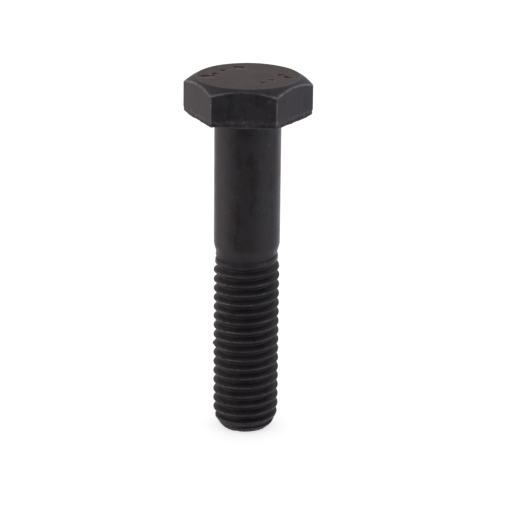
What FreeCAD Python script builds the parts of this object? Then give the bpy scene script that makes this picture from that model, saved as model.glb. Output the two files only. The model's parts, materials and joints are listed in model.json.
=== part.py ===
import FreeCAD, Part
import math
import os

from FreeCAD import Vector

# A part-threaded hexagon head bolt, M10 x 1.5 and nominally 50 mm long, for a 17 mm spanner, in
# one piece of steel. Millimetres. The origin is the centre of the bearing face under the head.
# +Z points out through the head, and two of the hexagon's flats face along Y.

# Head
width_across_flats = 16.8
hexagon_height = 5.73
washer_face_height = 0.3
washer_face_diameter = 15.5
top_flat_diameter = 15.46
top_chamfer_degrees = 30.5
hexagon_edge_radius = 0.3
underhead_radius = 0.5

# Shank, run-out and point
length = 49.6
shank_diameter = 10.0
shank_end_height = -19.95
neck_height = -21.35
full_crest_height = -23.7
point_height = -46.6
crest_diameter = 10.0
point_end_diameter = 7.36

# The body that the thread is rolled on, as (diameter, height) from the shank's end to the point
rolled_body = [
    (shank_diameter, shank_end_height),
    (9.48, -20.85),
    (9.24, neck_height),
    (9.52, -21.75),
    (9.54, -22.75),
    (crest_diameter, full_crest_height),
    (crest_diameter, point_height),
    (9.72, -47.55),
    (9.21, -48.3),
    (point_end_diameter, -length),
]

# Thread: right hand, with 60 degree flanks and a round root
pitch = 1.5
root_diameter = 8.16
root_arc_radius = 0.22
flank_angle = math.radians(30.0)
crest_height_at_minus_x = -24.32

# The helical tool that cuts the groove between the crests, one solid for each turn. Its back
# stands clear of the crests. Over its last turns its edge rises until it is out of the body.
tool_back_radius = 5.06
tool_start_height = -50.85
tool_end_height = -20.85
run_out_start_height = -24.2
run_out_end_diameter = 9.6
run_out_curve = 1.3
steps_per_turn = 20

head_height = washer_face_height + hexagon_height
corner_radius = width_across_flats / math.sqrt(3.0)


def revolve(outline):
    """The solid that a closed outline of (radius, height) points sweeps about the Z axis."""
    points = [Vector(radius, 0, height) for radius, height in outline]
    face = Part.Face(Part.makePolygon(points + points[:1]))
    return face.revolve(Vector(0, 0, 0), Vector(0, 0, 1), 360)


def make_hexagon():
    """The hexagonal prism with its upright edges rounded and its top corners turned to a cone."""
    corners = []
    for side in range(6):
        angle = math.radians(60.0 * side)
        x = corner_radius * math.cos(angle)
        y = corner_radius * math.sin(angle)
        corners.append(Vector(x, y, washer_face_height))
    prism = Part.Face(Part.makePolygon(corners + corners[:1])).extrude(Vector(0, 0, hexagon_height))
    upright = [edge for edge in prism.Edges if abs(edge.tangentAt(edge.FirstParameter).z) > 0.9]
    prism = prism.makeFillet(hexagon_edge_radius, upright)

    flat_radius = top_flat_diameter / 2
    outside = corner_radius + 1.0
    drop = (outside - flat_radius) * math.tan(math.radians(top_chamfer_degrees))
    turned = revolve([
        (0, 0),
        (outside, 0),
        (outside, head_height - drop),
        (flat_radius, head_height),
        (0, head_height),
    ])
    return prism.common(turned)


def make_blank():
    """The washer face, the plain shank and the body that the thread is rolled on."""
    blank = revolve([
        (0, washer_face_height),
        (washer_face_diameter / 2, washer_face_height),
        (washer_face_diameter / 2, 0),
        (shank_diameter / 2, 0),
    ] + [(diameter / 2, height) for diameter, height in rolled_body] + [
        (0, -length),
    ])
    underhead = []
    for edge in blank.Edges:
        on_bearing_face = abs(edge.BoundBox.ZMax) < 1e-6 and edge.BoundBox.ZLength < 1e-6
        if on_bearing_face and edge.BoundBox.XMax < shank_diameter / 2 + 1e-3:
            underhead.append(edge)
    return blank.makeFillet(underhead_radius, underhead)


def groove_bottom_at(height):
    """How far the groove's bottom is from the axis: constant, then rising at the run-out."""
    full_depth = root_diameter / 2
    share = (height - run_out_start_height) / (tool_end_height - run_out_start_height)
    share = min(max(share, 0.0), 1.0)
    return full_depth + (run_out_end_diameter / 2 - full_depth) * share ** run_out_curve


def groove_section(bottom):
    """The groove's outline as (radius, rise) points, from its upper back edge to its lower one."""
    tangent_radius = bottom + root_arc_radius * (1.0 - math.sin(flank_angle))
    tangent_half_width = root_arc_radius * math.cos(flank_angle)
    back_half_width = tangent_half_width + (tool_back_radius - tangent_radius) * math.tan(flank_angle)
    outline = [(tool_back_radius, back_half_width)]
    for degrees in (60, 20, -20, -60):
        turn = math.radians(degrees)
        radius = bottom + root_arc_radius * (1.0 - math.cos(turn))
        outline.append((radius, root_arc_radius * math.sin(turn)))
    outline.append((tool_back_radius, -back_half_width))
    return outline


def groove_turn(start, end):
    """The tool between two heights of the groove's middle, as a closed solid."""
    lines = None
    for step in range(steps_per_turn + 1):
        height = start + (end - start) * step / steps_per_turn
        turns_from_crest = (height - crest_height_at_minus_x) / pitch + 0.5
        angle = math.pi + 2.0 * math.pi * turns_from_crest
        section = groove_section(groove_bottom_at(height))
        lines = lines or [[] for corner in section]
        for line, (radius, rise) in zip(lines, section):
            line.append(Vector(radius * math.cos(angle), radius * math.sin(angle), height + rise))

    edges = []
    for line in lines:
        curve = Part.BSplineCurve()
        curve.interpolate(line)
        edges.append(curve.toShape())
    same_direction = 1
    faces = []
    for edge, next_edge in zip(edges, edges[1:] + edges[:1]):
        faces.append(Part.makeRuledSurface(edge, next_edge, same_direction))
    for end_index in (0, -1):
        outline = [line[end_index] for line in lines]
        faces.append(Part.Face(Part.makePolygon(outline + outline[:1])))
    shell = Part.Shell(faces)
    shell.sewShape()
    solid = Part.Solid(shell)
    if solid.Volume < 0:
        solid.reverse()
    return solid


def make_groove():
    turns = math.ceil((tool_end_height - tool_start_height) / pitch)
    rise = (tool_end_height - tool_start_height) / turns
    starts = [tool_start_height + rise * turn for turn in range(turns)]
    return [groove_turn(start, start + rise) for start in starts]


def make_hex_bolt():
    bolt = make_blank().fuse(make_hexagon()).cut(make_groove())
    return bolt.Solids[0]


os.makedirs("parts", exist_ok=True)
make_hex_bolt().exportStep("parts/hex_bolt.step")
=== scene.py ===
"""A black oxide hexagon head bolt, M10 x 1.5 and about 50 mm long, standing on a pale floor."""

import json
import math
from collections import namedtuple

import bmesh
import bpy
import numpy as np
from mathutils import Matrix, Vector, geometry, noise


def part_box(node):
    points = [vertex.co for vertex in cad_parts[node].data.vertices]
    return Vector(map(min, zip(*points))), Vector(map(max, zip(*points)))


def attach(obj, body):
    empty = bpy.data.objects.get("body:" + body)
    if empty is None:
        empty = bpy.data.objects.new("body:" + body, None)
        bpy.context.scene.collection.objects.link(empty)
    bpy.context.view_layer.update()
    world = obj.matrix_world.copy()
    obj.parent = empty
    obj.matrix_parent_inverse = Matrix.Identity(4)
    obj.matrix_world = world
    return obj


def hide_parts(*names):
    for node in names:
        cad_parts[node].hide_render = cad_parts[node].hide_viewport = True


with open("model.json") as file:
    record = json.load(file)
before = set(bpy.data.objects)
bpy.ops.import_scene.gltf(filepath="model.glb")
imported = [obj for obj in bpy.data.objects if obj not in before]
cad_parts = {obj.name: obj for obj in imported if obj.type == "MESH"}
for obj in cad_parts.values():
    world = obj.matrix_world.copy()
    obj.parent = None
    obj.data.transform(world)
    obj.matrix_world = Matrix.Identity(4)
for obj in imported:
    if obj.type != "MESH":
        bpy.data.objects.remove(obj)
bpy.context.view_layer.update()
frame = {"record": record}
mounts = {mount["name"]: mount for mount in frame["record"]["mounts"]}
lowest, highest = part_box("hex_bolt")

# Everything below is in millimetres, in the row frame, until the mesh is written in metres.
MM = 0.001

# Head
head_top = highest.z / MM
flat_distance = highest.y / MM
upright_edge_rounding = 0.3
rounded_corner_radius = 9.6
top_flat_radius = 7.73
chamfer_slope = math.tan(math.radians(30.5))
washer_face_height = 0.3
washer_face_radius = 7.75
trimmed_band_height = 0.86
trimmed_band_depth = 0.07
underhead_radius = 0.5
# The hexagon's lower corners that are rounded by wear: the corner's angle, and how much.
worn_corners = [(0.0, 0.4), (60.0, 0.3), (120.0, 0.2), (180.0, 0.55), (240.0, 0.12), (300.0, 0.15)]

# Shank and shoulder
shank_radius = mounts["shank"]["dims"]["r_mm"]
shank_end_height = -19.95
shoulder_height = -20.85
shoulder_radius = 4.74

# Thread and point. The rolled body is listed as (height, radius), from the shoulder to the tip.
pitch = 1.5
thread_top_height = -20.9
thread_bottom_height = -49.2
tip_height = lowest.z / MM
tip_radius = 3.68
full_crest_height = -23.7
blank_outline = [
    (shoulder_height, shoulder_radius),
    (-21.35, 4.62),
    (-21.75, 4.76),
    (-22.75, 4.77),
    (full_crest_height, 5.0),
    (-46.6, 5.0),
    (-47.55, 4.86),
    (-48.3, 4.605),
    (-48.8, 4.32),
    (tip_height, tip_radius),
]
groove_height_at_plus_x = -24.32
root_radius = 4.08
root_arc_radius = 0.22
flank_angle = math.radians(30.0)
crest_rounding = 0.07
run_out_start_height = -24.2
run_out_end_height = -20.85
run_out_radius = 4.8
run_out_curve = 1.3
run_out_softness = 0.16
# A small burr on one crest, the brown ring at the run-out, and where the point gets lumpy.
burr_degrees = 184.0
burr_height = -36.45
brown_ring_height = -22.5
brown_ring_width = 1.1
lumps_start_height = -47.3
lumps_fade_height = 0.6


def column_angles():
    """The angles of the mesh's columns: even steps, and closer together at the six corners."""
    sector = [-1.4, -0.9, -0.4, 0.0, 0.4, 0.9, 1.4] + list(np.arange(2.5, 58.0, 2.5))
    degrees = [60.0 * side + offset for side in range(6) for offset in sector]
    return np.radians(np.array(degrees + [360.0 + sector[0]]))


angles = column_angles()


def smooth_min(first, second, width):
    """The smaller of two arrays, with the corner between them rounded over that width."""
    share = np.clip(0.5 + 0.5 * (second - first) / width, 0.0, 1.0)
    return second + (first - second) * share - width * share * (1.0 - share)


def hexagon_radius(theta):
    """How far the hexagon's side is from the axis, with its upright edges rounded."""
    radius = np.full_like(theta, 1e3)
    for side in range(6):
        # A side that faces away counts as far off, so that it is never the nearest.
        facing = np.cos(theta - math.radians(30.0 + 60.0 * side))
        distance = flat_distance / np.maximum(facing, 0.2)
        radius = smooth_min(radius, distance, upright_edge_rounding)
    return radius


def wobble(theta, seed, waves=(2, 3, 5, 8, 13)):
    """A smooth random curve round the axis, between about -1 and 1."""
    random = np.random.default_rng(seed)
    total = np.zeros_like(theta)
    for wave in waves:
        total += random.uniform(0.3, 1.0) * np.sin(wave * theta + random.uniform(0, 2 * math.pi))
    return total / math.sqrt(len(waves))


def rounded_rows(corners):
    """Rows of (radius, height) points down a profile.

    Each corner is (radius, height, rounding, steps to the next corner). Radius and height may
    differ from column to column. The rounding is a curve that leaves the corner's two sides
    that far from it.
    """
    columns = len(angles)
    places = [np.stack([np.broadcast_to(radius, columns), np.broadcast_to(height, columns)], 1)
              for radius, height, rounding, steps in corners]
    rows = []
    for index, (radius, height, rounding, steps) in enumerate(corners):
        here = places[index]
        leave = here
        if np.any(np.asarray(rounding) > 0):
            amount = np.broadcast_to(rounding, columns)[:, None]
            back = places[index - 1] - here
            onward = places[index + 1] - here
            arrive = here + back / np.linalg.norm(back, axis=1, keepdims=True) * amount
            leave = here + onward / np.linalg.norm(onward, axis=1, keepdims=True) * amount
            for share in (0.0, 0.25, 0.5, 0.75):
                rest = 1 - share
                rows.append(arrive * rest ** 2 + here * 2 * share * rest + leave * share ** 2)
        rows.append(leave)
        if index + 1 == len(corners):
            break
        following = places[index + 1]
        amount = np.broadcast_to(corners[index + 1][2], columns)[:, None]
        back = leave - following
        stop = following + back / np.linalg.norm(back, axis=1, keepdims=True) * amount
        for step in range(1, steps):
            rows.append(leave + (stop - leave) * step / steps)
    return np.array(rows)


def head_and_shank_rows():
    """Rows from the top's edge down the head, under it, and down the shank to the thread."""
    side = hexagon_radius(angles)
    chamfer_edge = head_top - (side - top_flat_radius) * chamfer_slope
    band_top = washer_face_height + trimmed_band_height + 0.07 * wobble(angles, 11, (3, 7, 12, 19, 31))
    recess = side - trimmed_band_depth - 0.03 * wobble(angles, 12, (5, 9, 14, 23))
    burr = side - 0.01 + 0.03 * wobble(angles, 13, (6, 11, 17, 26, 38))
    near_edge = 0.16
    lower_rounding = 0.09 + 0.03 * wobble(angles, 14, (4, 7, 11, 18, 29))
    for degrees, rounding in worn_corners:
        turn = (angles - math.radians(degrees) + math.pi) % (2 * math.pi) - math.pi
        lower_rounding = lower_rounding + rounding * np.exp(-(turn / math.radians(5)) ** 2)
    return rounded_rows([
        (top_flat_radius - top_inset, head_top, 0, 1),
        (top_flat_radius, head_top, 0.12, 4),
        (side - near_edge, chamfer_edge + near_edge * chamfer_slope, 0.0, 1),
        (side, chamfer_edge, 0.08, 1),
        (side, chamfer_edge - 0.2, 0.0, 9),
        (side + 0.02, band_top, 0.05, 2),
        (recess, band_top - 0.2, 0.0, 3),
        (recess + 0.02, washer_face_height + 0.26, 0.0, 2),
        (burr, washer_face_height, lower_rounding, 3),
        (washer_face_radius, washer_face_height, 0.0, 2),
        (washer_face_radius, 0.0, 0.08, 5),
        (shank_radius, 0.0, underhead_radius, 30),
        (shank_radius, shank_end_height, 0.3, 5),
        (shoulder_radius, shoulder_height, 0.0, 1),
        (blank_radius(thread_top_height), thread_top_height, 0.0, 1),
    ])


def blank_radius(height):
    """The radius of the body that the thread is rolled on."""
    heights, radii = zip(*reversed(blank_outline))
    return np.interp(height, heights, radii)


def groove_bottom(height):
    """How far the groove's bottom is from the axis: constant, then rising at the run-out."""
    share = (height - run_out_start_height) / (run_out_end_height - run_out_start_height)
    share = np.clip(share, 0.0, 1.0)
    return root_radius + (run_out_radius - root_radius) * share ** run_out_curve


arc_half_width = root_arc_radius * math.cos(flank_angle)
arc_depth = root_arc_radius * (1.0 - math.sin(flank_angle))


def groove_radius(offset, bottom):
    """The groove's surface at a height above or below its middle."""
    offset = np.abs(offset)
    inside = np.minimum(offset, arc_half_width)
    arc = root_arc_radius - np.sqrt(root_arc_radius ** 2 - inside ** 2)
    return bottom + arc + np.maximum(offset - arc_half_width, 0.0) / math.tan(flank_angle)


def groove_edge(middle, bottom, direction):
    """How far from its middle the groove's flank comes out of the blank.

    The second value says how much groove there is: 1 where it is deeper than its round bottom,
    and 0 where there is none.
    """
    # The blank's radius at the edge depends on where the edge is, so it is found step by step.
    edge = np.full_like(middle, 0.4)
    for _ in range(12):
        above_arc = blank_radius(middle + direction * edge) - bottom - arc_depth
        edge = arc_half_width + np.maximum(above_arc, 0.0) * math.tan(flank_angle)
    depth = blank_radius(middle + direction * edge) - bottom
    share = np.clip(depth / arc_depth, 0.0, 1.0)
    return edge * np.sqrt(share), share


def thread_rows():
    """The thread from its bottom to its top, in rows that follow the helix."""
    turns_down = math.ceil((groove_height_at_plus_x - thread_bottom_height) / pitch) + 2
    turns_up = math.ceil((thread_top_height - groove_height_at_plus_x) / pitch) + 2
    heights = []
    radii = []
    for turn in range(-turns_down, turns_up):
        middle = groove_height_at_plus_x + pitch * (turn + angles / (2 * math.pi))
        bottom = groove_bottom(middle)
        lower, lower_share = groove_edge(middle, bottom, -1.0)
        upper, upper_share = groove_edge(middle, bottom, 1.0)
        share = np.minimum(lower_share, upper_share)
        share = share * share * (3 - 2 * share)
        arc = arc_half_width
        # Heights from the groove's middle where rows stand: at its edges, flanks and round bottom.
        # Where there is no groove, the rows are evenly spaced instead.
        cut = [
            -lower - 0.06,
            -lower,
            -lower + 0.05,
            -arc - (lower - 0.05 - arc) * 0.45,
            np.full_like(middle, -arc),
            np.full_like(middle, -0.5 * arc),
            np.zeros_like(middle),
            np.full_like(middle, 0.5 * arc),
            np.full_like(middle, arc),
            arc + (upper - 0.05 - arc) * 0.45,
            upper - 0.05,
            upper,
            upper + 0.06,
            np.full_like(middle, 0.5 * pitch),
        ]
        for index, offset in enumerate(cut):
            even = pitch * ((index + 1.0) / len(cut) - 0.5)
            offset = np.clip(even + (offset - even) * share, -0.5 * pitch, 0.5 * pitch)
            height = np.clip(middle + offset, thread_bottom_height, thread_top_height)
            blank = blank_radius(height)
            # A row past either end of the thread is moved to that end, and lies on the blank.
            groove = groove_radius(height - middle, bottom)
            moved = np.abs(middle + offset - height) > 1e-9
            into_run_out = np.clip((height - run_out_start_height + 0.2) / 1.5, 0.0, 1.0)
            softness = crest_rounding + run_out_softness * into_run_out
            radius = np.where(moved, blank, smooth_min(blank, groove, softness))
            heights.append(height)
            radii.append(radius)
    return np.stack([np.array(radii), np.array(heights)], 2)


def point_rows():
    """Rows from the thread's bottom, round the point's edge, to the middle of its end."""
    return rounded_rows([
        (blank_radius(thread_bottom_height), thread_bottom_height, 0.0, 2),
        (tip_radius + 0.07 * wobble(angles, 15, (2, 3, 5, 9, 14)), tip_height, 0.14, 8),
        (0.0, tip_height, 0.0, 1),
    ])


# Shallow generic marks pressed into the top: bars and dots, each with the angle and the distance
# from the axis of its middle, its length and width, and its turn from the radius in degrees.
Mark = namedtuple("Mark", "degrees distance length width turn")
marks = [
    Mark(109.0, 5.1, 1.9, 0.5, 80.0),
    Mark(146.0, 4.9, 0.8, 0.8, 0.0),
    Mark(173.0, 5.1, 0.9, 0.8, 0.0),
    Mark(189.0, 6.0, 2.2, 0.45, 10.0),
    Mark(13.0, 4.8, 1.0, 0.8, 20.0),
    Mark(-2.5, 5.8, 1.2, 0.7, -10.0),
    Mark(-30.0, 4.1, 0.7, 0.6, 0.0),
    Mark(-59.0, 4.5, 0.9, 0.6, 80.0),
]
mark_depth = 0.12
mark_slope_width = 0.14
mark_corners = 14
mark_roundness = 0.6
# The inner part of the top is triangles between rings of points, which stay clear of the marks.
top_inset = 0.35
ring_spacing = 0.28
ring_count = 26
spacing_in_ring = 0.3
clearance_from_marks = 0.15


def middle_of(mark):
    angle = math.radians(mark.degrees)
    return mark.distance * math.cos(angle), mark.distance * math.sin(angle)


def mark_loop(mark, inset):
    """The outline of one mark, smaller by the inset on every side."""
    middle_x, middle_y = middle_of(mark)
    along = math.radians(mark.degrees) + math.radians(mark.turn)
    loop = []
    for step in range(mark_corners):
        around = 2 * math.pi * step / mark_corners
        across = math.cos(around)
        up = math.sin(around)
        x = (mark.length / 2 - inset) * math.copysign(abs(across) ** mark_roundness, across)
        y = (mark.width / 2 - inset) * math.copysign(abs(up) ** mark_roundness, up)
        loop.append((
            middle_x + x * math.cos(along) - y * math.sin(along),
            middle_y + x * math.sin(along) + y * math.cos(along),
        ))
    return loop


def clear_of_marks(place):
    """Whether a place on the top is outside every mark."""
    for mark in marks:
        reach = max(mark.length, mark.width) / 2 + clearance_from_marks
        if math.dist(place, middle_of(mark)) <= reach:
            return False
    return True


def top_face():
    """Vertices and triangles of the flat top, with the marks pressed into it."""
    rim = top_flat_radius - top_inset
    points = [(rim * math.cos(angle), rim * math.sin(angle)) for angle in angles[:-1]]
    depths = [0.0] * len(points)
    edges = [(step, (step + 1) % len(points)) for step in range(len(points))]
    for mark in marks:
        for inset, depth in ((0.0, 0.0), (mark_slope_width, mark_depth)):
            loop = mark_loop(mark, inset)
            first = len(points)
            points += loop
            depths += [depth] * len(loop)
            edges += [(first + step, first + (step + 1) % len(loop)) for step in range(len(loop))]
    for ring in range(ring_count):
        radius = ring_spacing * ring
        count = max(1, round(2 * math.pi * radius / spacing_in_ring))
        for step in range(count):
            around = 2 * math.pi * (step + 0.5 * (ring % 2)) / count
            place = (radius * math.cos(around), radius * math.sin(around))
            if clear_of_marks(place):
                points.append(place)
                depths.append(0.0)
    flat_points = [Vector(place) for place in points]
    result = geometry.delaunay_2d_cdt(flat_points, edges, [], 0, 1e-6, True)
    vertices, faces, sources = result[0], result[2], result[3]
    placed = []
    for vertex, source in zip(vertices, sources):
        depth = depths[source[0]] if source else 0.0
        placed.append((vertex.x, vertex.y, head_top - depth))
    return placed, faces


# Where each part lies in the UV map, as its lower left corner and its size. The top is a round
# patch, so it has its middle instead of a corner.
head_uv_box = ((0.56, 0.26), (0.43, 0.20))
shank_uv_box = ((0.56, 0.48), (0.43, 0.51))
thread_uv_box = ((0.01, 0.01), (0.53, 0.98))
point_uv_box = ((0.80, 0.01), (0.19, 0.1))
top_uv_middle = (0.675, 0.13)
top_uv_scale = 0.22 / 15.4

weld_distance = 2e-4
shortest_edge = 1e-4


def build_mesh():
    """One closed mesh of the whole bolt, with an unrolled UV map for each of its parts."""
    mesh = bmesh.new()
    uv_map = mesh.loops.layers.uv.new("OFBake")

    def add_grid(rows, uv_box):
        """Faces between rows of (radius, height) points, unrolled into a box of the UV map."""
        corner, size = uv_box
        travelled = np.zeros(rows.shape[:2])
        travelled[1:] = np.cumsum(np.linalg.norm(np.diff(rows, axis=0), axis=2), axis=0)
        whole = travelled.max()
        grid = []
        for points in rows:
            grid.append([
                mesh.verts.new((radius * math.cos(angle), radius * math.sin(angle), height))
                for (radius, height), angle in zip(points, angles)
            ])
        for row in range(len(rows) - 1):
            for column in range(len(angles) - 1):
                ring = ((row, column), (row + 1, column), (row + 1, column + 1), (row, column + 1))
                face = mesh.faces.new([grid[place[0]][place[1]] for place in ring])
                face.smooth = True
                for loop, place in zip(face.loops, ring):
                    across = (angles[place[1]] - angles[0]) / (2 * math.pi)
                    up = travelled[place] / whole
                    loop[uv_map].uv = (corner[0] + size[0] * across, corner[1] + size[1] * up)

    # The head and the shank are unrolled apart, from the washer face's lower corner.
    top_rows = head_and_shank_rows()
    first_row = top_rows[:, 0]
    from_low_corner = np.abs(first_row[:, 1]) + np.abs(first_row[:, 0] - washer_face_radius)
    low_corner = int(np.argmin(from_low_corner))
    add_grid(top_rows[: low_corner + 1], head_uv_box)
    add_grid(top_rows[low_corner:], shank_uv_box)
    add_grid(thread_rows()[::-1], thread_uv_box)
    add_grid(point_rows(), point_uv_box)

    placed, faces = top_face()
    vertices = [mesh.verts.new(place) for place in placed]
    for corners in faces:
        face = mesh.faces.new([vertices[corner] for corner in corners])
        face.smooth = True
        for loop in face.loops:
            loop[uv_map].uv = (
                top_uv_middle[0] + loop.vert.co.x * top_uv_scale,
                top_uv_middle[1] + loop.vert.co.y * top_uv_scale,
            )

    bmesh.ops.remove_doubles(mesh, verts=mesh.verts, dist=weld_distance)
    bmesh.ops.dissolve_degenerate(mesh, edges=mesh.edges, dist=shortest_edge)
    bmesh.ops.recalc_face_normals(mesh, faces=mesh.faces)
    return mesh


def falloff(distance, width):
    """1 where the distance is nothing, fading smoothly to 0 within about twice the width."""
    return np.exp(-(distance / width) ** 2)


def vertex_noise(places, scale, offset):
    """Smooth noise at each place, between about -1 and 1."""
    return np.array([noise.noise(Vector(place) * scale + Vector(offset)) for place in places])


class Places:
    """The mesh's vertices, with what the rubbed places, the stains, the painted light and the
    unevenness go by.
    """

    def __init__(self, places, normals):
        self.x, self.y, self.z = places.T
        self.facing_up = normals[:, 2]
        self.theta = np.arctan2(self.y, self.x)
        self.radius = np.hypot(self.x, self.y)
        self.side = hexagon_radius(self.theta)
        self.on_head = self.z > -0.01
        self.on_side = self.on_head & (self.radius > self.side - 0.35) & (self.z > 0.2)
        self.on_top = self.on_head & (self.z > head_top - 0.3) & (self.radius < top_flat_radius + 0.05)
        self.on_shank = (self.z < 0.0) & (self.z > shank_end_height)
        self.on_thread = (self.z < thread_top_height) & (self.z > thread_bottom_height)
        self.above_end = self.z > tip_height + 0.02
        self.on_band = self.on_side & (self.z < washer_face_height + trimmed_band_height + 0.12)
        self.near_crest = np.clip((self.radius - blank_radius(self.z) + 0.1) / 0.07, 0.0, 1.0)
        # The point's share grows from 0 to 1 down the taper, and its flat end has none.
        below_start = (lumps_start_height - self.z) / lumps_fade_height
        self.point_share = np.clip(below_start, 0.0, 1.0) * self.above_end
        # On one side the thread's crests have more bare steel and its groove is paler: painted light
        # on the side where more light falls.
        self.painted_light_side = falloff(self.theta + math.radians(128), math.radians(26))
        self.broad = vertex_noise(places, 0.35, (3.1, 7.7, 1.3))
        self.ragged = vertex_noise(places * (1.7, 1.7, 0.8), 1.0, (0.3, 8.1, 2.2))
        self.fine = vertex_noise(places, 2.3, (9.2, 0.4, 5.5))
        self.finest = vertex_noise(places, 3.4, (4.4, 6.1, 0.7))

    def near_mark(self, mark):
        """1 on the middle of a mark, fading to 0 round it."""
        middle_x, middle_y = middle_of(mark)
        away = np.hypot(self.x - middle_x, self.y - middle_y)
        return falloff(away, 0.65 + mark.length * 0.45) * self.on_top


def edge_wear_and_highlights(at):
    """Lines along the head's edges: partly coating rubbed off, partly painted highlight."""
    chamfer_edge = head_top - (at.side - top_flat_radius) * chamfer_slope
    corner_turn = (at.theta + math.radians(30)) % math.radians(60) - math.radians(30)
    corner_share = falloff(corner_turn, math.radians(9))
    # The front flat's curved edge gets less of this than the others, except at its ends.
    front_share = falloff(at.theta + math.pi / 2, math.radians(30))
    curved_share = np.maximum(1.0 - 0.65 * front_share, corner_share)
    corner_distance = corner_turn * rounded_corner_radius
    # Rubbed coating and painted highlight lines: the top's rim, the chamfer's curved edges, the
    # upright corners and the lower edge.
    edges = [
        (0.3, falloff(np.hypot(at.radius - top_flat_radius, at.z - head_top), 0.09)),
        (1.0, falloff(at.z - chamfer_edge, 0.1) * at.on_side * curved_share),
        (0.38, falloff(corner_distance, 0.14) * at.on_side),
        (0.4, falloff(at.z - washer_face_height, 0.12) * at.on_side),
    ]
    wear_and_highlights = np.zeros(len(at.z))
    for amount, edge in edges:
        wear_and_highlights = np.maximum(wear_and_highlights, edge * amount * (0.9 + 0.8 * at.fine + 0.4 * at.broad))
    return wear_and_highlights


def crest_wear_and_highlights(at):
    """Lighter lines on the thread's crests, mostly on their upper side: partly coating rubbed off,
    partly painted highlight, with more of it on the side where more light falls.
    """
    upper_side = np.clip(1.6 * at.facing_up, 0.0, 1.0)
    full_thread = np.clip((full_crest_height + 0.1 - at.z) / 0.5, 0.0, 1.0)
    # Painted shade: the crest lines are kept darker on the side where grazing light already brightens
    # them.
    painted_shade_side = falloff(np.abs(at.theta) - math.pi, math.radians(25))
    wear = np.clip(0.4 + 0.6 * at.fine + 0.5 * at.broad, 0.1, 1.0)
    wear = wear * (0.65 + 0.9 * at.painted_light_side - 0.35 * painted_shade_side)
    return at.near_crest * upper_side * at.on_thread * full_thread * wear


def wear_and_highlight_values(at):
    """How far the coating is rubbed off, on edges, on crests and in specks round the marks; on the
    edges and crests it also paints highlights.
    """
    wear_and_highlights = np.clip(np.maximum(edge_wear_and_highlights(at), crest_wear_and_highlights(at)), 0.0, 1.0)
    for mark in marks:
        specks = np.clip(-2.0 * at.finest - 0.4, 0.0, 0.4)
        wear_and_highlights = np.maximum(wear_and_highlights, specks * at.near_mark(mark))
    return wear_and_highlights


def brown_values(at):
    """The brown tint: on the top, darker round and in its marks, at the run-out and on the shank.
    Inside the recessed marks the darkening is dirt and painted shade.
    """
    brown = np.clip(0.7 + 0.4 * at.broad, 0.4, 0.8) * at.on_top
    for mark in marks:
        brown = np.maximum(brown, (1.12 + 0.8 * at.finest) * at.near_mark(mark))
    # Inside the recessed marks the tint is full: dirt, and painted shade in the recess.
    in_mark = at.on_top & (at.z < head_top - 0.08)
    brown = np.clip(np.where(in_mark, 1.0, brown), 0.0, 1.0)
    run_out_brown = np.clip(0.2 + 0.8 * at.broad + 0.3 * at.fine, 0.0, 0.45)
    brown = np.maximum(brown, falloff(at.z - brown_ring_height, brown_ring_width) * run_out_brown)
    return np.maximum(brown, np.clip(0.1 + 0.5 * at.broad, 0.0, 0.25) * at.on_shank)


def rough_values(at):
    """Scraped metal: the band round the head's lower edge, and the point."""
    rough = np.where(at.on_band, np.clip(0.6 + 1.2 * at.ragged, 0.0, 1.0), 0.0)
    return np.maximum(rough, at.point_share * np.clip(0.3 + at.fine, 0.0, 0.7))


def groove_dust_and_painted_light(at):
    """How pale the groove is painted, by its depth: partly groove dust, partly painted light that
    lifts the groove's shade; more on the side where more light falls, less on the flanks that face
    down.
    """
    groove = np.clip((blank_radius(at.z) - at.radius) / 0.8, 0.0, 1.0) * at.on_thread
    return groove * (0.45 + 0.75 * at.painted_light_side) * np.clip(0.6 + 1.2 * at.facing_up, 0.15, 1.0)


def outward_moves(at):
    """How far each vertex moves outwards: slight waves, the lumpy band and point, and the burr."""
    move = np.where(at.on_head, 0.022 * at.broad + 0.006 * at.fine, 0.007 * at.broad + 0.004 * at.fine)
    move = move + np.where(at.on_band, 0.05 * at.ragged, 0.0)
    move = move + 0.07 * at.point_share * at.fine
    move = np.where(at.above_end, move, 0.0)
    burr_turn = at.theta % (2 * math.pi) - math.radians(burr_degrees)
    away = np.hypot(burr_turn * at.radius, at.z - burr_height)
    return move + 0.15 * falloff(away, 0.4) * at.near_crest


def finish_surface(data):
    """Leaves the surface slightly uneven, and stores what the material needs at each vertex."""
    count = len(data.vertices)
    places = np.zeros(count * 3)
    normals = np.zeros(count * 3)
    data.vertices.foreach_get("co", places)
    data.vertices.foreach_get("normal", normals)
    places = places.reshape(-1, 3)
    normals = normals.reshape(-1, 3)
    at = Places(places, normals)
    # The first attribute holds rubbed-off coating together with painted highlights on the head's edges
    # and the crests; the groove attribute holds groove dust together with painted light.
    for name, values in (
        ("wear_and_highlights", wear_and_highlight_values(at)),
        ("brown", brown_values(at)),
        ("rough", rough_values(at)),
        ("groove", groove_dust_and_painted_light(at)),
    ):
        attribute = data.attributes.new(name, "FLOAT", "POINT")
        attribute.data.foreach_set("value", values.astype(np.float32))
    moved = (places + normals * outward_moves(at)[:, None]) * MM
    data.vertices.foreach_set("co", moved.ravel())
    data.update()


def make_bolt():
    mesh = build_mesh()
    open_edges = sum(1 for edge in mesh.edges if len(edge.link_faces) != 2)
    print("mesh:", len(mesh.verts), "vertices,", len(mesh.faces), "faces,", open_edges, "open edges")
    data = bpy.data.meshes.new("bolt_surface")
    mesh.to_mesh(data)
    mesh.free()
    finish_surface(data)
    data.set_sharp_from_angle(angle=math.radians(50))
    bolt = bpy.data.objects.new("bolt", data)
    bpy.context.scene.collection.objects.link(bolt)
    return bolt


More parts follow.
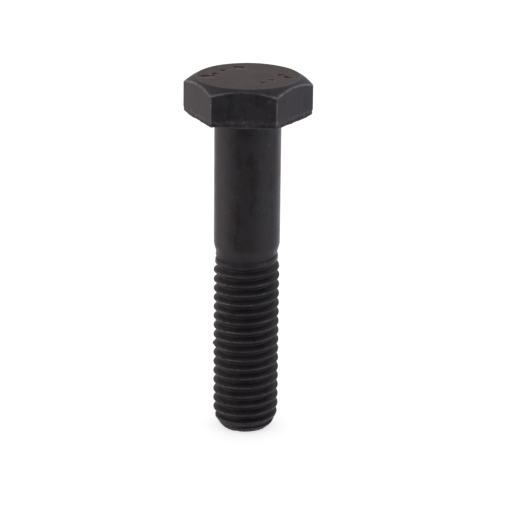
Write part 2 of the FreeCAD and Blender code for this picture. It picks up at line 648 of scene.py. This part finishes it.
class Graph:
    """Short ways to add nodes to a material or to the world."""

    def __init__(self, tree):
        self.nodes = tree.nodes
        self.links = tree.links
        self.place = self.nodes.new("ShaderNodeTexCoord").outputs["Object"]

    def value(self, socket, source):
        """Sets a node's input, from another node's output or to a plain value."""
        if isinstance(source, bpy.types.NodeSocket):
            self.links.new(source, socket)
        else:
            socket.default_value = source

    def stretched(self, scale):
        """The object's own coordinates, scaled along each axis."""
        node = self.nodes.new("ShaderNodeMapping")
        self.links.new(self.place, node.inputs["Vector"])
        node.inputs["Scale"].default_value = scale
        return node.outputs["Vector"]

    def split(self, vector):
        """A vector's three numbers, as sockets named X, Y and Z."""
        node = self.nodes.new("ShaderNodeSeparateXYZ")
        self.links.new(vector, node.inputs[0])
        return node.outputs

    def noise_at(self, vector, scale, detail, roughness):
        node = self.nodes.new("ShaderNodeTexNoise")
        self.links.new(vector, node.inputs["Vector"])
        node.inputs["Scale"].default_value = scale
        node.inputs["Detail"].default_value = detail
        node.inputs["Roughness"].default_value = roughness
        return node.outputs["Fac"]

    def noise(self, scale, detail, roughness, stretch=(1, 1, 1)):
        return self.noise_at(self.stretched(stretch), scale, detail, roughness)

    def helix_noise(self, scale, detail, roughness):
        """Noise drawn out along the thread: lines that run round with the groove."""
        drawn_out = 0.12
        place = self.split(self.place)
        turn = self.math("ARCTAN2", place["Y"], place["X"])
        rise = self.multiply(turn, pitch * MM / (2 * math.pi))
        # The height with the helix's rise taken off, which repeats on every turn
        across = self.nodes.new("ShaderNodeMath")
        across.operation = "WRAP"
        self.value(across.inputs[0], self.math("SUBTRACT", place["Z"], rise))
        across.inputs[1].default_value = (groove_height_at_plus_x + pitch / 2) * MM
        across.inputs[2].default_value = (groove_height_at_plus_x - pitch / 2) * MM
        joined = self.nodes.new("ShaderNodeCombineXYZ")
        self.value(joined.inputs["X"], self.multiply(place["X"], drawn_out))
        self.value(joined.inputs["Y"], self.multiply(place["Y"], drawn_out))
        self.value(joined.inputs["Z"], across.outputs[0])
        return self.noise_at(joined.outputs[0], scale, detail, roughness)

    def below(self, height):
        """1 below a height, and 0 above it."""
        return self.math("LESS_THAN", self.split(self.place)["Z"], height)

    def dots(self, scale, size, stretch=(1, 1, 1)):
        """Small scattered dots: 1 in the middle of each, and 0 between them."""
        node = self.nodes.new("ShaderNodeTexVoronoi")
        self.links.new(self.stretched(stretch), node.inputs["Vector"])
        node.inputs["Scale"].default_value = scale
        return self.remap(node.outputs["Distance"], 0.3 * size, size, 1.0, 0.0)

    def attribute(self, name):
        node = self.nodes.new("ShaderNodeAttribute")
        node.attribute_name = name
        return node.outputs["Fac"]

    def math(self, operation, first, second, clamp=False):
        node = self.nodes.new("ShaderNodeMath")
        node.operation = operation
        node.use_clamp = clamp
        self.value(node.inputs[0], first)
        self.value(node.inputs[1], second)
        return node.outputs[0]

    def multiply(self, first, second):
        return self.math("MULTIPLY", first, second)

    def remap(self, source, low, high, to_low, to_high):
        """A smooth step from one value to another, while the source goes from low to high."""
        node = self.nodes.new("ShaderNodeMapRange")
        node.interpolation_type = "SMOOTHSTEP"
        self.value(node.inputs["Value"], source)
        node.inputs["From Min"].default_value = low
        node.inputs["From Max"].default_value = high
        node.inputs["To Min"].default_value = to_low
        node.inputs["To Max"].default_value = to_high
        return node.outputs["Result"]

    def blend(self, share, first, second):
        """The first number where the share is 0, and the second where it is 1."""
        node = self.nodes.new("ShaderNodeMix")
        self.value(node.inputs["Factor"], share)
        self.value(node.inputs["A"], first)
        self.value(node.inputs["B"], second)
        return node.outputs["Result"]

    def mix(self, share, first, second):
        """The first colour where the share is 0, and the second where it is 1."""
        node = self.nodes.new("ShaderNodeMix")
        node.data_type = "RGBA"
        self.value(node.inputs["Factor"], share)
        self.value(node.inputs["A"], first)
        self.value(node.inputs["B"], second)
        return node.outputs["Result"]


# The coating's colours, and the steel that shows where it is rubbed off; on the head's edges and the
# crests it also paints highlights.
black_coating = (0.041, 0.0385, 0.0425, 1)
brown_coating = (0.053, 0.032, 0.024, 1)
# Dark brown: dirt round the marks, and painted shade inside them.
mark_dirt_and_shade_colour = (0.045, 0.022, 0.015, 1)
# Groove dust, and painted light that lifts the groove's shade.
groove_dust_and_painted_light_colour = (0.085, 0.075, 0.077, 1)
bare_steel = (0.30, 0.285, 0.295, 1)


class Coating(Graph):
    """The patterns that the bolt's surface is made of."""

    def __init__(self, tree):
        super().__init__(tree)
        # Rubbed-off coating, and painted highlights on the head's edges and the crests.
        self.wear_and_highlights = self.attribute("wear_and_highlights")
        self.brown = self.attribute("brown")
        self.rough = self.attribute("rough")
        # Groove dust, and painted light that lifts the groove's shade.
        self.groove = self.attribute("groove")
        # The darkest brown: dirt round the marks, and painted shade inside the recessed marks.
        self.mark_dirt_and_shade = self.remap(self.brown, 0.84, 0.97, 0.0, 1.0)
        self.on_thread = self.below(thread_top_height * MM)
        self.blotches = self.noise(420.0, 4.0, 0.6)
        self.grain = self.noise(6500.0, 3.0, 0.6)
        # Streaks run down the head and the shank, and round with the groove on the thread.
        round_thread = self.multiply(self.helix_noise(2600.0, 3.0, 0.6), self.on_thread)
        down_shank = self.noise(1500.0, 3.0, 0.6, (1, 1, 0.1))
        down_shank = self.multiply(down_shank, self.math("SUBTRACT", 1.0, self.on_thread))
        self.streaks = self.math("ADD", round_thread, down_shank)

    def colour(self):
        """The coating: blotched and streaked, brown on the top, darker in the marks with dirt and
        painted shade, paler in the groove with dust and painted light.
        """
        shade = self.remap(self.blotches, 0.32, 0.68, 0.72, 1.28)
        shade = self.multiply(shade, self.remap(self.streaks, 0.3, 0.7, 0.84, 1.16))
        shade = self.multiply(shade, self.remap(self.grain, 0.3, 0.7, 0.85, 1.15))
        brown_share = self.remap(self.brown, 0.0, 0.8, 0.0, 1.0)
        coating = self.mix(brown_share, black_coating, brown_coating)
        coating = self.mix(self.mark_dirt_and_shade, coating, mark_dirt_and_shade_colour)
        # Paler in the groove: dust, and painted light that lifts the groove's shade.
        coating = self.mix(self.groove, coating, groove_dust_and_painted_light_colour)
        return self.mix(shade, (0, 0, 0, 1), coating)

    def bare(self):
        """Where steel shows: rubbed edges and crests, partly painted highlights, with nicks; specks
        and smudges; and scraped places.
        """
        edges = self.multiply(self.wear_and_highlights, self.remap(self.grain, 0.25, 0.7, 0.5, 1.1))
        nicks = self.multiply(self.dots(430.0, 0.2, (1, 1, 1.8)), self.multiply(self.wear_and_highlights, 1.4))
        small_specks = self.dots(670.0, 0.09)
        large_specks = self.dots(190.0, 0.075, (1, 1, 3.2))
        specks = self.math("MAXIMUM", small_specks, large_specks)
        specks = self.multiply(specks, self.remap(self.grain, 0.35, 0.6, 0.02, 0.2))
        smudges = self.remap(self.noise(800.0, 4.0, 0.7), 0.6, 0.8, 0.0, 0.22)
        scrapes = self.remap(self.noise(2200.0, 3.0, 0.6), 0.45, 0.7, 0.02, 0.3)
        worn_through = self.math("ADD", edges, nicks)
        scattered = self.math("MAXIMUM", specks, smudges)
        bare = self.math("MAXIMUM", worn_through, scattered)
        return self.math("MAXIMUM", bare, self.multiply(self.rough, scrapes), True)

    def roughness(self, bare):
        """Satin in blotches, rougher in some kinds of place and smoother where steel shows."""
        roughness = self.remap(self.blotches, 0.3, 0.7, 0.42, 0.5)
        for place, change in (
            (self.rough, 0.08),
            (self.mark_dirt_and_shade, 0.2),
            (self.on_thread, 0.04),
            (self.groove, 0.18),
            (bare, -0.1),
        ):
            roughness = self.math("ADD", roughness, self.multiply(place, change))
        return roughness

    def bump(self):
        """Fine unevenness from the streaks and the grain."""
        node = self.nodes.new("ShaderNodeBump")
        node.inputs["Strength"].default_value = 0.35
        node.inputs["Distance"].default_value = 0.04 * MM
        height = self.math("ADD", self.multiply(self.streaks, 0.5), self.multiply(self.grain, 0.5))
        self.value(node.inputs["Height"], height)
        return node.outputs["Normal"]


def black_oxide():
    """Dark satin coating: mottled, streaked, brown on the top, paler where it is rubbed bare. The bare
    lines on edges and crests are partly painted highlights, the paler groove is partly painted light,
    and the dark marks are partly painted shade.
    """
    material = bpy.data.materials.new("black_oxide_steel")
    material.use_nodes = True
    coating = Coating(material.node_tree)
    surface = coating.nodes["Principled BSDF"]
    bare = coating.bare()
    colour = coating.mix(bare, coating.colour(), bare_steel)
    coating.value(surface.inputs["Base Color"], colour)
    coating.value(surface.inputs["Roughness"], coating.roughness(bare))
    coating.value(surface.inputs["Normal"], coating.bump())
    surface.inputs["Metallic"].default_value = 0.55
    surface.inputs["Specular Tint"].default_value = (1.0, 0.94, 0.99, 1)
    return material


def add_floor():
    """A pale floor at the point's height. It glows a little, so that it stays white round the bolt."""
    bpy.ops.mesh.primitive_plane_add(size=6.0, location=(0, 0, tip_height * MM))
    floor = bpy.context.object
    floor.name = "floor"
    material = bpy.data.materials.new("floor_paint")
    material.use_nodes = True
    paint = material.node_tree.nodes["Principled BSDF"]
    paint.inputs["Base Color"].default_value = (0.9, 0.9, 0.9, 1)
    paint.inputs["Roughness"].default_value = 0.9
    paint.inputs["Specular IOR Level"].default_value = 0.1
    paint.inputs["Emission Color"].default_value = (1, 1, 1, 1)
    paint.inputs["Emission Strength"].default_value = 0.66
    floor.data.materials.append(material)
    floor.visible_glossy = False


# The studio's light, as factors that multiply. Along each axis of the direction that the light
# comes from: where it begins and ends to change, and the factor before and after the change.
light_changes = [
    ("X", -0.96, -0.82, 1.9, 1.0),
    ("X", -0.8, -0.5, 0.6, 0.96),
    ("X", -0.4, -0.05, 1.0, 0.86),
    ("X", 0.1, 0.45, 1.0, 1.14),
    ("X", 0.5, 0.8, 1.0, 0.7),
    ("Y", -0.95, -0.3, 0.12, 1.0),
    ("Y", -0.1, 0.35, 1.2, 1.0),
    ("Y", 0.5, 0.9, 1.0, 1.65),
    ("Z", -0.8, -0.45, 0.45, 1.0),
    ("Z", -0.15, 0.2, 1.0, 0.31),
    ("Z", 0.3, 0.6, 1.0, 2.3),
    ("Z", 0.65, 0.95, 1.0, 0.75),
]
warm_light = (1.035, 0.99, 0.975, 1)
cool_light = (0.97, 0.99, 1.04, 1)
wall_brightness = 0.95


def studio_world():
    """A soft studio: bright behind the bolt and dim in front of it."""
    world = bpy.data.worlds.new("studio")
    bpy.context.scene.world = world
    world.use_nodes = True
    graph = Graph(world.node_tree)
    background = graph.nodes["Background"]
    direction = graph.split(graph.nodes.new("ShaderNodeTexCoord").outputs["Generated"])

    # The light is a little warmer from the left and cooler from the right.
    from_right = graph.nodes.new("ShaderNodeMapRange")
    from_right.inputs["From Min"].default_value = -0.7
    from_right.inputs["From Max"].default_value = 0.7
    graph.links.new(direction["X"], from_right.inputs["Value"])
    tint = graph.mix(from_right.outputs["Result"], warm_light, cool_light)
    graph.links.new(tint, background.inputs["Color"])

    strength = 1.0
    for axis, start, end, before, after in light_changes:
        change = graph.remap(direction[axis], start, end, before, after)
        strength = graph.multiply(strength, change)
    # The camera itself sees an even pale wall.
    seen_by_camera = graph.nodes.new("ShaderNodeLightPath").outputs["Is Camera Ray"]
    strength = graph.blend(seen_by_camera, strength, wall_brightness)
    graph.links.new(strength, background.inputs["Strength"])


def add_camera():
    """A long lens in front of the bolt, looking down on it a little."""
    lens = bpy.data.cameras.new("camera")
    lens.lens = 156.06
    lens.clip_start = 0.01
    camera = bpy.data.objects.new("camera", lens)
    bpy.context.scene.collection.objects.link(camera)
    camera.location = (0.02323, -0.31460, 0.08819)
    camera.rotation_euler = [math.radians(degrees) for degrees in (70.774, -0.554, 4.229)]
    bpy.context.scene.camera = camera


bolt = make_bolt()
bolt.data.materials.append(black_oxide())
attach(bolt, "root")
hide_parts("hex_bolt")
add_floor()
studio_world()
add_camera()
bpy.context.scene.view_settings.view_transform = "Standard"
